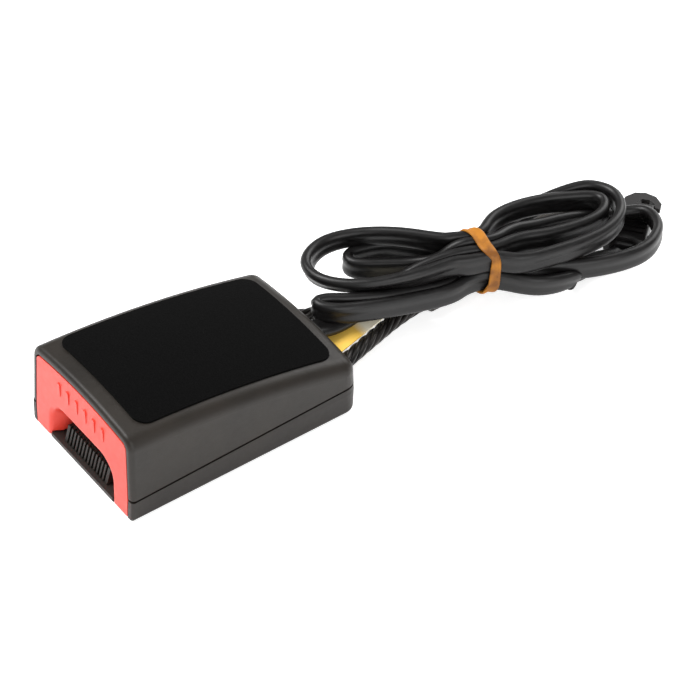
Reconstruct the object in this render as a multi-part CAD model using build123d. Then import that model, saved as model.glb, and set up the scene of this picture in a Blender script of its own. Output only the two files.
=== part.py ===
"""Seat belt buckle on a two-leg wire rope stalk, with its buckle sensor lead wound into a hank.

Frame: millimetres, origin on the underside of the lower cover at the middle of the housing, +Y from the
button end towards the rope end, +X to the right of someone facing the rope end, +Z up.
"""

from build123d import *
import math
import os

os.makedirs("parts", exist_ok=True)

# ---- Housing ----
BODY_WIDTH = 40.0
BODY_LENGTH = 59.6
WALL = 1.6
FLOOR = 1.5
WAIST_Z = 5.9  # height where the housing is widest, and where the seam meets the front
UPPER_DRAFT = 0.05  # inward lean of the walls above the waist, per mm of height
LOWER_DRAFT = 0.03  # and below it
CORNER_RADIUS = 3.5
TOP_EDGE_RADIUS = 3.4
BOTTOM_EDGE_RADIUS = 1.2
FRONT_EDGE_RADIUS = 1.2  # rim of the upper cover round the button
LIP_EDGE_RADIUS = 0.7
INNER_CHAMFER = 1.0  # along the inner top edges of the upper cover
CROWN_FRONT_Z = 23.66
CROWN_REAR_Z = 14.87
CROWN_RISE = 1.9  # bow of the top along its length
CROSS_RADIUS = 120.0  # bow of the top across its width
SEAM_REAR_Z = 7.8
SEAM_GAP = 0.5
FIT_GAP = 0.3  # air between pieces that move past each other
SEAT_GAP = 0.05  # air between pieces that are assembled and stay put
FRONT_Y = -BODY_LENGTH / 2
REAR_Y = BODY_LENGTH / 2

# ---- Felt pad ----
FELT_WIDTH = 32.6
FELT_LENGTH = 50.2
FELT_MID_Y = 0.45
FELT_CORNER = 3.2
FELT_RECESS = 0.3
FELT_PROUD = 0.45

# ---- Press button ----
BUTTON_TRAVEL = 5.5
PANEL_DEPTH = 2.4
SKIRT_DEPTH = 8.8
SKIRT_WALL = 1.5
LEG_FOOT_Z = 0.7
MOUTH_HALF_WIDTH = 12.5
MOUTH_TOP_Z = 10.6
MOUTH_CORNER = 4.5
MOUTH_EDGE_RADIUS = 1.4
THROAT_HALF_WIDTH = 9.3
THROAT_TOP_Z = 10.2
FUNNEL_DEPTH = 5.0
FUNNEL_WALL = 1.4
GRIP_BARS = 6
GRIP_BAR_PITCH = 3.4
GRIP_BAR_WIDTH = 1.1
GRIP_BAR_HEIGHT = 3.6
GRIP_BAR_PROUD = 0.2
GRIP_BAR_Z = 16.8
ARM_INNER_X = 14.0
ARM_THICKNESS = 2.3
ARM_FOOT_Z = 7.4
ARM_TAIL_TOP_Z = 9.8
ARM_TOP_Z = 15.2
ARM_TAIL_Y = 1.0
ARM_CLEARANCE = 0.45  # ramp to latch ear, along the ramp's normal

# ---- Lower cover ----
RAMP_HALF_WIDTH = 8.4
RAMP_FRONT_SETBACK = 0.8
RAMP_ANGLE = 73.0
RIB_COUNT = 14
RIB_PITCH = 1.2
RIB_THICKNESS = 0.55
RIB_DEPTH = 0.8
PAD_TOP_Z = 3.2

# ---- Steel frame ----
PLATE = 2.4
FLANGE = 1.6
FRAME_HALF_WIDTH = 13.6
FRAME_FRONT_Y = -18.4
FRAME_CORNER = 0.8
FRAME_TAIL_STEP = 1.8  # how far the tail is wider than the frame, on each side
FRAME_TAIL_HALF_WIDTH = FRAME_HALF_WIDTH + FRAME_TAIL_STEP
FRAME_TAIL_FRONT_Y = 13.4
FRAME_TAIL_Y = REAR_Y - WALL - 1.2
FLANGE_FRONT_Y = -16.0
FLANGE_REAR_Y = 12.4
FLANGE_TOP_Z = 12.4
WINDOW_HALF_WIDTH = 5.7
WINDOW_FRONT_Y = -13.6
WINDOW_REAR_Y = -6.8
PIN_RADIUS = 1.6  # locating pins of the lower cover
PIN_FRONT_Y = -16.0
PIN_REAR_Y = 22.6

# ---- Latch ----
PIVOT_Y = 8.0
PIVOT_Z = 13.9
PIVOT_RADIUS = 1.3
PIVOT_RUNNING = 0.05
KNUCKLE_RADIUS = 2.9
LATCH_SWING = 18.5  # degrees
EAR_REACH = 15.0
EAR_RADIUS = 1.2
EAR_TIP_X = 15.8
LATCH_THICKNESS = 2.2
LATCH_UNDER_Z = 10.6
LATCH_HALF_WIDTH = 9.0
NOSE_HALF_WIDTH = 5.2
NOSE_TIP_Z = 4.5

# ---- Ejector ----
EJECTOR_TRAVEL = 7.0
EJECTOR_FRONT_Y = -7.2
EJECTOR_BAR = 3.2
EJECTOR_SIDE_GAP = 0.6
EJECTOR_HALF_WIDTH = FRAME_HALF_WIDTH - FLANGE - EJECTOR_SIDE_GAP
EJECTOR_HEIGHT = 3.7
EJECTOR_ARM_INNER_X = 5.0
EJECTOR_ARM_OUTER_X = 8.6
EJECTOR_ARM_END_Y = 5.5
STOP_FRONT_Y = 12.7
STOP_THICKNESS = 1.4
STOP_HALF_WIDTH = 2.4
MAGNET_RADIUS = 1.4
MAGNET_LENGTH = 3.0

# ---- Springs ----
BUTTON_SPRING_X = 9.0
BUTTON_SPRING_Z = 15.2
BUTTON_SPRING_RADIUS = 2.2
LATCH_SPRING_Y = -3.0
LATCH_SPRING_RADIUS = 2.2
EJECTOR_SPRING_RADIUS = 1.5
WIRE_RADIUS = 0.3
SPRING_STEPS = 10  # straight lengths per turn
POST_Y = -15.4
POST_THICKNESS = 1.2

# ---- Wire rope stalk ----
ROPE_DIAMETER = 3.7
ROPE_GAP = 0.2
ROPE_X = 10.5
ROPE_Z = 4.4
TERMINAL_RADIUS = 2.5
TERMINAL_LENGTH = 7.5
TERMINAL_FACE_Y = 23.9
ROPE_ROUTE = [
    (ROPE_X, TERMINAL_FACE_Y, ROPE_Z),
    (10.4, 29.9, 4.3),
    (7.3, 39.6, 3.6),
    (2.4, 55.6, 2.6),
    (2.2, 61.8, 2.4),
]
FERRULE_LENGTH = 16.0
FERRULE_HALF_WIDTH = 5.2
FERRULE_HALF_HEIGHT = 2.35
ANCHOR_THICKNESS = 3.0
SHANK_HALF_WIDTH = 3.0  # end of the anchor plate held in the ferrule
SHANK_LENGTH = 6.0
ANCHOR_HALF_WIDTH = 5.0
ANCHOR_EYE_X = 0.4
ANCHOR_EYE_Y = 97.5
ANCHOR_EYE_RADIUS = 12.8
BOLT_HOLE_RADIUS = 5.75

# ---- Sensor and its lead ----
CABLE_WIDTH = 5.6
CABLE_THICKNESS = 2.5
CABLE_X = 0.6
CABLE_Z = 8.9
CABLE_START_Y = 25.4
CABLE_END_Y = 37.6
HANK_UNDER_Z = 5.9
HANK_LAYER = 5.7  # height of one layer of loops, cable on edge
HANK_CORNER = 5.0
HANK_FRONT_Y = 34.4
TIE_X = 5.4
TIE_Y = 73.4
TIE_ANGLE = 21.0  # the bundle's heading at the tie, from +Y towards +X
TIE_HALF_WIDTH = 5.7
BAND_WIDTH = 3.0
BAND_THICKNESS = 0.9
CONNECTOR_X = 14.3
CONNECTOR_Y = 112.2
CONNECTOR_YAW = 38.0
CONNECTOR_WIDTH = 9.8
CONNECTOR_LENGTH = 13.8
CONNECTOR_HEIGHT = 5.2
CONNECTOR_AXIS_Z = 2.3
COLLAR_LENGTH = 1.6
TAIL_ROUTE = [
    (12.6, 75.6, 8.2),
    (18.4, 83.2, 7.2),
    (21.9, 91.5, 5.0),
    (21.9, 99.6, 3.2),
    (18.7, 106.6, CONNECTOR_AXIS_Z),
    (15.32, 110.9, CONNECTOR_AXIS_Z),
]

# ---- Marker tag ----
TAG_WIDTH = 7.6
TAG_LENGTH = 30.2
TAG_THICKNESS = 0.35
TAG_Z = 5.3
TAG_HEADING = 13.7  # from +Y towards -X
TAG_START_Y = 28.4
TAG_START_X = 4.9


def box(x0, x1, y0, y1, z0, z1):
    """Block between two corners."""
    size = (x1 - x0, y1 - y0, z1 - z0)
    middle = ((x0 + x1) / 2, (y0 + y1) / 2, (z0 + z1) / 2)
    return Pos(*middle) * Box(*size)


def both_sides(shape):
    """A shape and its mirror image across the middle plane x = 0."""
    return shape + mirror(shape, about=Plane.YZ)


def side_profile(points, x0, x1):
    """Extrude an outline of (y, z) points from x0 to x1."""
    outline = make_face(Polyline([(0, y, z) for y, z in points], close=True))
    return Pos(x0, 0, 0) * extrude(outline, amount=x1 - x0, dir=(1, 0, 0))


def rod_x(radius, x0, x1, y, z):
    """Round bar along X."""
    return Pos((x0 + x1) / 2, y, z) * Rot(0, 90, 0) * Cylinder(radius, x1 - x0)


def rod_y(radius, y0, y1, x, z):
    """Round bar along Y."""
    return Pos(x, (y0 + y1) / 2, z) * Rot(90, 0, 0) * Cylinder(radius, y1 - y0)


def rod_z(radius, z0, z1, x, y):
    """Round bar along Z."""
    return Pos(x, y, (z0 + z1) / 2) * Cylinder(radius, z1 - z0)


def half_width(z, inset=0.0):
    """Half the housing's width at a height, less an inset."""
    draft = UPPER_DRAFT if z > WAIST_Z else LOWER_DRAFT
    return BODY_WIDTH / 2 - inset - draft * abs(z - WAIST_Z)


def crown_circle():
    """Centre (y, z) and radius of the arc that the top follows along its length."""
    rise = CROWN_FRONT_Z - CROWN_REAR_Z
    chord = math.hypot(BODY_LENGTH, rise)
    radius = chord**2 / (8 * CROWN_RISE)
    drop = radius - CROWN_RISE
    middle_z = (CROWN_FRONT_Z + CROWN_REAR_Z) / 2
    return -drop * rise / chord, middle_z - drop * BODY_LENGTH / chord, radius


def crown_z(x, y):
    """Height of the outer skin of the top at a point."""
    centre_y, centre_z, radius = crown_circle()
    return centre_z + math.sqrt(radius**2 - (y - centre_y) ** 2) - x**2 / (2 * CROSS_RADIUS)


def under_crown(lowered):
    """Everything under the doubly curved top, lowered by the given amount."""
    centre_y, centre_z, radius = crown_circle()
    apex = centre_z + radius - lowered
    cross = CROSS_RADIUS - lowered
    half = BODY_WIDTH
    sag = cross - math.sqrt(cross**2 - half**2)
    deep = apex - 2 * BODY_LENGTH
    arc = ThreePointArc((-half, centre_y, apex - sag), (0, centre_y, apex), (half, centre_y, apex - sag))
    lines = Polyline(
        (half, centre_y, apex - sag), (half, centre_y, deep), (-half, centre_y, deep), (-half, centre_y, apex - sag)
    )
    section = make_face(Curve() + [arc, lines])
    sweep_angle = math.degrees((2 * BODY_LENGTH - centre_y) / radius)
    return revolve(section, Axis((0, centre_y, centre_z), (-1, 0, 0)), revolution_arc=sweep_angle)


def drafted_layer(inset, height, draft):
    """Rounded rectangular block on the waist, whose walls lean inwards away from it."""
    front_y = FRONT_Y - 3 * CORNER_RADIUS
    length = REAR_Y - inset - front_y
    outline = RectangleRounded(2 * half_width(WAIST_Z, inset), length, CORNER_RADIUS - min(inset, 2.0))
    lean = math.degrees(math.atan(draft))
    return Pos(0, front_y + length / 2, WAIST_Z) * extrude(outline, amount=height, taper=lean)


def housing_block(inset, floor_z):
    """The housing's outer shape before its edges are rounded, inset by a wall and long at the front."""
    upper = drafted_layer(inset, CROWN_FRONT_Z + WALL - WAIST_Z, UPPER_DRAFT)
    lower = drafted_layer(inset, floor_z - WAIST_Z, LOWER_DRAFT)
    return (upper + lower) & under_crown(inset)


def housing_form(inset, floor_z, edge):
    """The housing block with its top edge rounded."""
    return fillet(housing_block(inset, floor_z).faces().sort_by(Axis.Z)[-1].edges(), edge)


def front_y(z):
    """The raked front plane at a height."""
    return FRONT_Y + UPPER_DRAFT * (z - WAIST_Z)


def ahead_of_front():
    """Everything in front of the raked front plane."""
    top_z = CROWN_FRONT_Z + 2 * WALL
    points = [(2 * FRONT_Y, -WALL), (front_y(-WALL), -WALL), (front_y(top_z), top_z), (2 * FRONT_Y, top_z)]
    return side_profile(points, -BODY_WIDTH, BODY_WIDTH)


def seam_z(y):
    """Height of the parting line at a point along the housing."""
    share = (y - FRONT_Y) / BODY_LENGTH
    return WAIST_Z + share * (SEAM_REAR_Z - WAIST_Z)


def above_seam(offset):
    """Everything above the sloping parting line, shifted up by an offset."""
    y0, y1 = 2 * FRONT_Y, 2 * REAR_Y
    top_z = 2 * CROWN_FRONT_Z
    points = [(y0, seam_z(y0) + offset), (y1, seam_z(y1) + offset), (y1, top_z), (y0, top_z)]
    return side_profile(points, -BODY_WIDTH, BODY_WIDTH)


def outer_form():
    """The closed outer shape of both covers."""
    form = housing_form(0, 0, TOP_EDGE_RADIUS)
    return fillet(form.faces().sort_by(Axis.Z)[0].edges(), BOTTOM_EDGE_RADIUS) - ahead_of_front()


def rounded_front(skin, radius):
    """Round the rim that a cover's skin shows at the front, except along the seam."""
    rim = skin.faces().sort_by(Axis.Y)[0].edges()
    on_seam = [e for e in rim if abs(e.center().Z - WAIST_Z) < SEAM_GAP and e.length > BODY_WIDTH / 2]
    return fillet([e for e in rim if e not in on_seam], radius)


def cavity():
    """The space inside the covers, open at the front."""
    block = housing_block(WALL, FLOOR)
    return chamfer(block.faces().sort_by(Axis.Z)[-1].edges(), INNER_CHAMFER)


def felt_outline(shrink):
    """Column over the felt pad's outline."""
    outline = RectangleRounded(FELT_WIDTH - 2 * shrink, FELT_LENGTH - 2 * shrink, FELT_CORNER - shrink)
    return Pos(0, FELT_MID_Y, 0) * extrude(outline, amount=2 * CROWN_FRONT_Z)


def grommet_form(clearance):
    """Column along Y that the grommet's waist fills in the rear wall."""
    width = CABLE_WIDTH + 2 * WALL
    height = CABLE_THICKNESS + 1.2 * WALL
    outline = RectangleRounded(width + 2 * clearance, height + 2 * clearance, height / 3)
    return Pos(CABLE_X, 0, CABLE_Z) * extrude(Plane.XZ * outline, amount=-2 * REAR_Y)


def hook_places():
    """(y) positions of the snap hooks along each side."""
    return (-7.5, 18.0)


def snap_hook(y):
    """Snap hook that drops from the upper cover's right wall into the lower cover."""
    root = box(16.8, half_width(WAIST_Z, WALL / 2), y - 2.0, y + 2.0, seam_z(y) + SEAM_GAP, 12.5)
    finger = box(16.8, 17.9, y - 2.0, y + 2.0, 3.0, seam_z(y) + 2 * SEAM_GAP)
    barb = side_hook_barb(y - 2.0, y + 2.0)
    return root + finger + barb


def side_hook_barb(y0, y1):
    """Wedge on the outer side of a snap hook."""
    points = [(17.9, 3.0), (18.9, 4.1), (17.9, 4.4)]
    outline = make_face(Polyline([(x, y0, z) for x, z in points], close=True))
    return extrude(outline, amount=y1 - y0, dir=(0, 1, 0))


def upper_cover():
    """Crowned upper shell with its spring posts, snap hooks and terminal hold-downs."""
    skin = outer_form() & above_seam(SEAM_GAP / 2)
    shell = rounded_front(skin, FRONT_EDGE_RADIUS) - cavity()
    inside = housing_form(WALL / 2, FLOOR, TOP_EDGE_RADIUS - WALL / 2)
    post_x = BUTTON_SPRING_X
    post = box(post_x - 2.6, post_x + 2.6, POST_Y, POST_Y + POST_THICKNESS, 12.9, CROWN_FRONT_Z)
    post += rod_y(1.4, POST_Y - 1.6, POST_Y, post_x, BUTTON_SPRING_Z)
    spigot = rod_z(1.5, PIVOT_Z + 3.6, CROWN_FRONT_Z, 0, LATCH_SPRING_Y)
    hold_down = box(ROPE_X - 1.0, ROPE_X + 1.0, 17.0, 22.5, ROPE_Z + TERMINAL_RADIUS + SEAT_GAP, CROWN_REAR_Z + 2)
    ribs = both_sides(post + hold_down) + spigot
    shell += ribs & inside
    for y in hook_places():
        shell += both_sides(snap_hook(y))
    shell -= grommet_form(SEAT_GAP)
    recess = felt_outline(0) - under_crown(FELT_RECESS)
    return shell - recess


def felt_pad():
    """Flocked pad lying in the recess of the upper cover's top."""
    slab = under_crown(-FELT_PROUD) - under_crown(FELT_RECESS - 0.02)
    return slab & felt_outline(SEAT_GAP)


def tongue_ramp():
    """Steep ribbed ramp behind the lower cover's lip, and the tongue's floor behind it."""
    front = FRONT_Y + RAMP_FRONT_SETBACK
    top = PAD_TOP_Z + PLATE
    run = (top - FLOOR) / math.tan(math.radians(RAMP_ANGLE))
    rear = FRAME_FRONT_Y - FIT_GAP
    points = [(front, FLOOR / 2), (front, FLOOR), (front + run, top), (rear, top), (rear, FLOOR / 2)]
    block = side_profile(points, -RAMP_HALF_WIDTH, RAMP_HALF_WIDTH)
    gap = RIB_PITCH - RIB_THICKNESS
    tall = 2 * top
    lean = tall / math.tan(math.radians(RAMP_ANGLE))
    groove_points = [(front - RIB_DEPTH, FLOOR), (front + RIB_DEPTH, FLOOR)]
    groove_points += [(front + RIB_DEPTH + lean, FLOOR + tall), (front - RIB_DEPTH, FLOOR + tall)]
    for i in range(RIB_COUNT - 1):
        x = (i - (RIB_COUNT - 2) / 2) * RIB_PITCH
        block -= side_profile(groove_points, x - gap / 2, x + gap / 2)
    return block


def lower_cover():
    """Tray with the lip, ribbed tongue ramp, frame pads, hook pockets and cord outlets."""
    skin = outer_form() - above_seam(-SEAM_GAP / 2)
    shell = rounded_front(skin, LIP_EDGE_RADIUS) - cavity()
    leg_slot_x = MOUTH_HALF_WIDTH - FIT_GAP
    leg_path_end = FRONT_Y + PANEL_DEPTH + BUTTON_TRAVEL + FIT_GAP
    wall_x = half_width(LEG_FOOT_Z, WALL)
    leg_slot = box(leg_slot_x, wall_x, 2 * FRONT_Y, leg_path_end, -WALL, FLOOR + FIT_GAP)
    shell -= both_sides(leg_slot)
    shell += tongue_ramp()
    beam = box(7.6, 8.8, FRAME_FRONT_Y + 1.0, 14.0, FLOOR / 2, PAD_TOP_Z)
    tail_pad = box(2.5, 6.0, 16.0, FRAME_TAIL_Y - 1.0, FLOOR / 2, PAD_TOP_Z)
    shell += both_sides(beam + tail_pad)
    for y in (PIN_FRONT_Y, PIN_REAR_Y):
        shell += rod_z(PIN_RADIUS, FLOOR / 2, PAD_TOP_Z + PLATE - SEAT_GAP, 0, y)
    lip_root = box(17.0, half_width(FLOOR, WALL / 2), -1.0, 11.0, 3.6, seam_z(-1.0) - SEAM_GAP)
    lip = box(17.0, 18.0, -1.0, 11.0, 3.6, seam_z(11.0) + 1.4)
    shell += both_sides(lip_root + lip)
    for y in hook_places():
        pocket = box(16.0, 19.1, y - 2.3, y + 2.3, 2.7, 4.8)
        shell -= both_sides(pocket)
    rope_slot = rod_y(ROPE_DIAMETER / 2 + FIT_GAP, REAR_Y - 3 * WALL, REAR_Y + WALL, ROPE_X, ROPE_Z)
    rope_side = ROPE_DIAMETER / 2 + FIT_GAP
    rope_slot += box(ROPE_X - rope_side, ROPE_X + rope_side, REAR_Y - 3 * WALL, REAR_Y + WALL, ROPE_Z, 3 * ROPE_Z)
    shell -= both_sides(rope_slot)
    tag_top = TAG_Z + TAG_THICKNESS + FIT_GAP
    tag_slot = box(0.2, ROPE_X, REAR_Y - 2 * WALL, REAR_Y + WALL, TAG_Z - FIT_GAP, tag_top)
    shell -= tag_slot
    return shell - grommet_form(SEAT_GAP)


def funnel_section(y, half, top):
    """Inverted U that the tongue passes through, at one depth."""
    low = -2 * WALL
    outline = RectangleRounded(2 * half, 2 * (top - low), MOUTH_CORNER)
    return Pos(0, y, low) * (Plane.XZ * outline)


def grip_bars():
    """Row of small raised bars on the button's face."""
    bars = []
    front = front_y(GRIP_BAR_Z) - GRIP_BAR_PROUD
    for i in range(GRIP_BARS):
        x = (i - (GRIP_BARS - 1) / 2) * GRIP_BAR_PITCH
        bar = RectangleRounded(GRIP_BAR_WIDTH, GRIP_BAR_HEIGHT, GRIP_BAR_WIDTH / 3)
        bars.append(Pos(x, front, GRIP_BAR_Z) * extrude(Plane.XZ * bar, amount=-PANEL_DEPTH))
    return bars


def latch_ear_centre(share):
    """(y, z) of the latch ears' axis at a share of the swing."""
    angle = math.radians(LATCH_SWING * (share - 0.5))
    return PIVOT_Y - EAR_REACH * math.cos(angle), PIVOT_Z + EAR_REACH * math.sin(angle)


def button_arm():
    """Right arm of the button, whose ramp lifts the latch's ear."""
    ear_y, ear_z = latch_ear_centre(0)
    _, lifted_z = latch_ear_centre(1)
    slope = math.atan2(lifted_z - ear_z, BUTTON_TRAVEL)
    reach = EAR_RADIUS + ARM_CLEARANCE
    on_y = ear_y - reach * math.sin(slope)
    on_z = ear_z - reach * math.cos(slope)
    top_y = on_y - (ARM_TOP_Z - on_z) / math.tan(slope)
    foot_y = on_y + (on_z - ARM_TAIL_TOP_Z) / math.tan(slope)
    front = FRONT_Y + PANEL_DEPTH / 2
    points = [(front, ARM_FOOT_Z), (front, ARM_TOP_Z), (top_y, ARM_TOP_Z), (foot_y, ARM_TAIL_TOP_Z)]
    points += [(ARM_TAIL_Y, ARM_TAIL_TOP_Z), (ARM_TAIL_Y, ARM_FOOT_Z)]
    return side_profile(points, ARM_INNER_X, ARM_INNER_X + ARM_THICKNESS)


def button_form():
    """The shape inside the covers that the button stays in over its whole travel."""
    inset = WALL + FIT_GAP
    reach = FRONT_Y + SKIRT_DEPTH + BUTTON_TRAVEL
    span = box(-BODY_WIDTH, BODY_WIDTH, FRONT_Y - WALL, reach, -WALL, 2 * CROWN_FRONT_Z)
    form = housing_block(inset, LEG_FOOT_Z) & span
    rim = [e for e in form.faces().sort_by(Axis.Z)[-1].edges() if abs(e.center().X) > BODY_WIDTH / 4]
    form = fillet(rim, TOP_EDGE_RADIUS - inset)
    return (form & Pos(0, -BUTTON_TRAVEL, 0) * form) - ahead_of_front()


def press_button():
    """Saddle-shaped push button: face, funnel between its legs, skirts and two ramp arms."""
    rear, panel_rear = FRONT_Y + SKIRT_DEPTH, FRONT_Y + PANEL_DEPTH
    high = 2 * CROWN_FRONT_Z
    slab = button_form() - box(-BODY_WIDTH, BODY_WIDTH, rear, 2 * REAR_Y, -WALL, high)
    skirt_inset = WALL + FIT_GAP + SKIRT_WALL
    hollow = housing_form(skirt_inset, -WALL, WALL / 4)
    hollow += box(-BODY_WIDTH, BODY_WIDTH, FRONT_Y, rear, -WALL, FLOOR + 2 * FIT_GAP)
    hollow -= box(-BODY_WIDTH, BODY_WIDTH, 2 * FRONT_Y, panel_rear, -2 * WALL, high)
    funnel_rear = FRONT_Y + FUNNEL_DEPTH
    collar_x = THROAT_HALF_WIDTH + FUNNEL_WALL + 2.0
    collar_z = THROAT_TOP_Z + FUNNEL_WALL
    hollow -= box(-collar_x, collar_x, FRONT_Y, funnel_rear, FLOOR + 2 * FIT_GAP, collar_z)
    body = slab - hollow
    body -= box(-MOUTH_HALF_WIDTH, MOUTH_HALF_WIDTH, 2 * FRONT_Y, rear, -WALL, FLOOR + FIT_GAP)
    ahead = funnel_section(FRONT_Y - WALL, MOUTH_HALF_WIDTH + 1.0, MOUTH_TOP_Z + 0.15)
    behind = funnel_section(funnel_rear, THROAT_HALF_WIDTH, THROAT_TOP_Z)
    body -= loft(Sketch() + [ahead, behind], ruled=True)
    face = body.faces().filter_by(GeomType.PLANE).group_by(Axis.Y)[0].sort_by(SortBy.AREA)[-1]
    mouth = [e for e in face.edges() if abs(e.center().X) < MOUTH_HALF_WIDTH + 1.0 and e.center().Z < MOUTH_TOP_Z + 1.0]
    body = fillet([e for e in mouth if e.center().Z > FLOOR + 1.0], MOUTH_EDGE_RADIUS)
    body -= box(-THROAT_HALF_WIDTH, THROAT_HALF_WIDTH, funnel_rear, rear, -WALL, THROAT_TOP_Z)
    seat = rod_y(1.4, FRONT_Y + PANEL_DEPTH / 2, FRONT_Y + PANEL_DEPTH + 2.0, BUTTON_SPRING_X, BUTTON_SPRING_Z)
    body += both_sides(button_arm() + seat)
    for bar in grip_bars():
        body += bar
    return body


def coil_spring(radius, length, turns):
    """Compression spring standing on the XY plane."""
    height = length - 2 * WIRE_RADIUS
    steps = turns * SPRING_STEPS
    points = []
    for i in range(steps + 1):
        angle = 2 * math.pi * i / SPRING_STEPS
        points.append((radius * math.cos(angle), radius * math.sin(angle), WIRE_RADIUS + height * i / steps))
    path = Polyline(points)
    wire = Plane(path @ 0, z_dir=path % 0) * RegularPolygon(WIRE_RADIUS, 6)
    return sweep(wire, path=path, transition=Transition.RIGHT)


def button_spring(side):
    """Return spring between the button and its post in the upper cover."""
    seat_y = FRONT_Y + PANEL_DEPTH
    spring = coil_spring(BUTTON_SPRING_RADIUS, POST_Y - seat_y, 5)
    return Pos(side * BUTTON_SPRING_X, seat_y, BUTTON_SPRING_Z) * Rot(-90, 0, 0) * spring


def latch_spring():
    """Spring that holds the latch down in the frame's window."""
    under = LATCH_UNDER_Z + LATCH_THICKNESS
    top = crown_z(LATCH_SPRING_RADIUS, LATCH_SPRING_Y) - WALL - 0.1
    return Pos(0, LATCH_SPRING_Y, under) * coil_spring(LATCH_SPRING_RADIUS, top - under, 4)


def ejector_spring():
    """Spring that pushes the ejector and the tongue out."""
    start = EJECTOR_FRONT_Y + EJECTOR_BAR
    spring = coil_spring(EJECTOR_SPRING_RADIUS, STOP_FRONT_Y - start, 7)
    return Pos(0, start, ejector_axis_z()) * Rot(-90, 0, 0) * spring


def ejector_axis_z():
    """Height of the ejector's middle."""
    return PAD_TOP_Z + PLATE + FIT_GAP + EJECTOR_HEIGHT / 2


def flange_outline():
    """(y, z) outline of a frame flange with its ear slot and pivot lobe."""
    ear_y, ear_z = latch_ear_centre(0)
    slot_front = ear_y - EAR_RADIUS - 2.5 * FIT_GAP
    slot_rear = ear_y + EAR_RADIUS + 2.5 * FIT_GAP
    slot_floor = ear_z - EAR_RADIUS - 2 * FIT_GAP
    shoulder = FLANGE_TOP_Z - 1.2
    lobe_top = PIVOT_Z + PIVOT_RADIUS + 1.1
    points = [(FLANGE_FRONT_Y, PAD_TOP_Z), (FLANGE_FRONT_Y, shoulder - 3.0), (FLANGE_FRONT_Y + 2.4, shoulder)]
    points += [(slot_front, shoulder), (slot_front, slot_floor), (slot_rear, slot_floor)]
    points += [(slot_rear, FLANGE_TOP_Z), (1.5, FLANGE_TOP_Z), (PIVOT_Y - 2.4, lobe_top), (PIVOT_Y + 2.4, lobe_top)]
    points += [(FLANGE_REAR_Y, FLANGE_TOP_Z), (FLANGE_REAR_Y, PAD_TOP_Z)]
    return points


def buckle_frame():
    """Pressed steel channel that carries the load between tongue and rope terminals."""
    top = PAD_TOP_Z + PLATE
    base = box(-FRAME_HALF_WIDTH, FRAME_HALF_WIDTH, FRAME_FRONT_Y, FRAME_TAIL_Y, PAD_TOP_Z, top)
    tail_x = FRAME_TAIL_HALF_WIDTH
    base += box(-tail_x, tail_x, FRAME_TAIL_FRONT_Y, FRAME_TAIL_Y, PAD_TOP_Z, top)
    base = fillet(base.edges().filter_by(Axis.Z), FRAME_CORNER)
    flange = side_profile(flange_outline(), FRAME_HALF_WIDTH - FLANGE, FRAME_HALF_WIDTH)
    frame = base + both_sides(flange)
    frame -= box(-WINDOW_HALF_WIDTH, WINDOW_HALF_WIDTH, WINDOW_FRONT_Y, WINDOW_REAR_Y, 0, top + WALL)
    for y in (PIN_FRONT_Y, PIN_REAR_Y):
        frame -= rod_z(PIN_RADIUS + SEAT_GAP, 0, top + WALL, 0, y)
    pocket_half = TERMINAL_RADIUS + FIT_GAP / 2
    pocket_front = TERMINAL_FACE_Y - TERMINAL_LENGTH - FIT_GAP
    pocket = box(ROPE_X - pocket_half, ROPE_X + pocket_half, pocket_front, TERMINAL_FACE_Y, 0, 2 * ROPE_Z)
    slot_half = (ROPE_DIAMETER + ROPE_GAP) / 2
    slot = box(ROPE_X - slot_half, ROPE_X + slot_half, TERMINAL_FACE_Y - WALL, 2 * FRAME_TAIL_Y, 0, 2 * ROPE_Z)
    frame -= both_sides(pocket + slot)
    frame -= rod_x(PIVOT_RADIUS, -BODY_WIDTH, BODY_WIDTH, PIVOT_Y, PIVOT_Z)
    stop_top = ejector_axis_z() + EJECTOR_HEIGHT / 2
    stop_rear = STOP_FRONT_Y + STOP_THICKNESS
    return frame + box(-STOP_HALF_WIDTH, STOP_HALF_WIDTH, STOP_FRONT_Y, stop_rear, PAD_TOP_Z, stop_top)


def latch_pivot_pin():
    """Headed pin through both flanges, which the latch swings on."""
    shank = rod_x(PIVOT_RADIUS - 0.01, -FRAME_HALF_WIDTH - 0.6, FRAME_HALF_WIDTH + 0.1, PIVOT_Y, PIVOT_Z)
    head_x = FRAME_HALF_WIDTH + 0.02
    return shank + rod_x(PIVOT_RADIUS + 0.7, head_x, head_x + 0.8, PIVOT_Y, PIVOT_Z)


def latch_plate():
    """Stamped latch: knuckle, plate, two lifting ears and the nose that holds the tongue."""
    under, top = LATCH_UNDER_Z, LATCH_UNDER_Z + LATCH_THICKNESS
    front = WINDOW_FRONT_Y
    plate = side_profile(
        [(front + 0.4, under), (front + 0.4, top), (2.5, top), (PIVOT_Y, PIVOT_Z + 1.6), (PIVOT_Y, 11.4), (5, under)],
        -LATCH_HALF_WIDTH,
        LATCH_HALF_WIDTH,
    )
    nose = side_profile(
        [(front, under), (front, top), (-7.4, top), (-8.0, NOSE_TIP_Z), (-9.0, NOSE_TIP_Z)],
        -NOSE_HALF_WIDTH,
        NOSE_HALF_WIDTH,
    )
    knuckle_half = FRAME_HALF_WIDTH - FLANGE - FIT_GAP
    latch = plate + nose + rod_x(KNUCKLE_RADIUS, -knuckle_half, knuckle_half, PIVOT_Y, PIVOT_Z)
    ear_y, ear_z = latch_ear_centre(0)
    latch += rod_x(EAR_RADIUS, -EAR_TIP_X, EAR_TIP_X, ear_y, ear_z)
    return latch - rod_x(PIVOT_RADIUS + PIVOT_RUNNING, -BODY_WIDTH, BODY_WIDTH, PIVOT_Y, PIVOT_Z)


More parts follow.
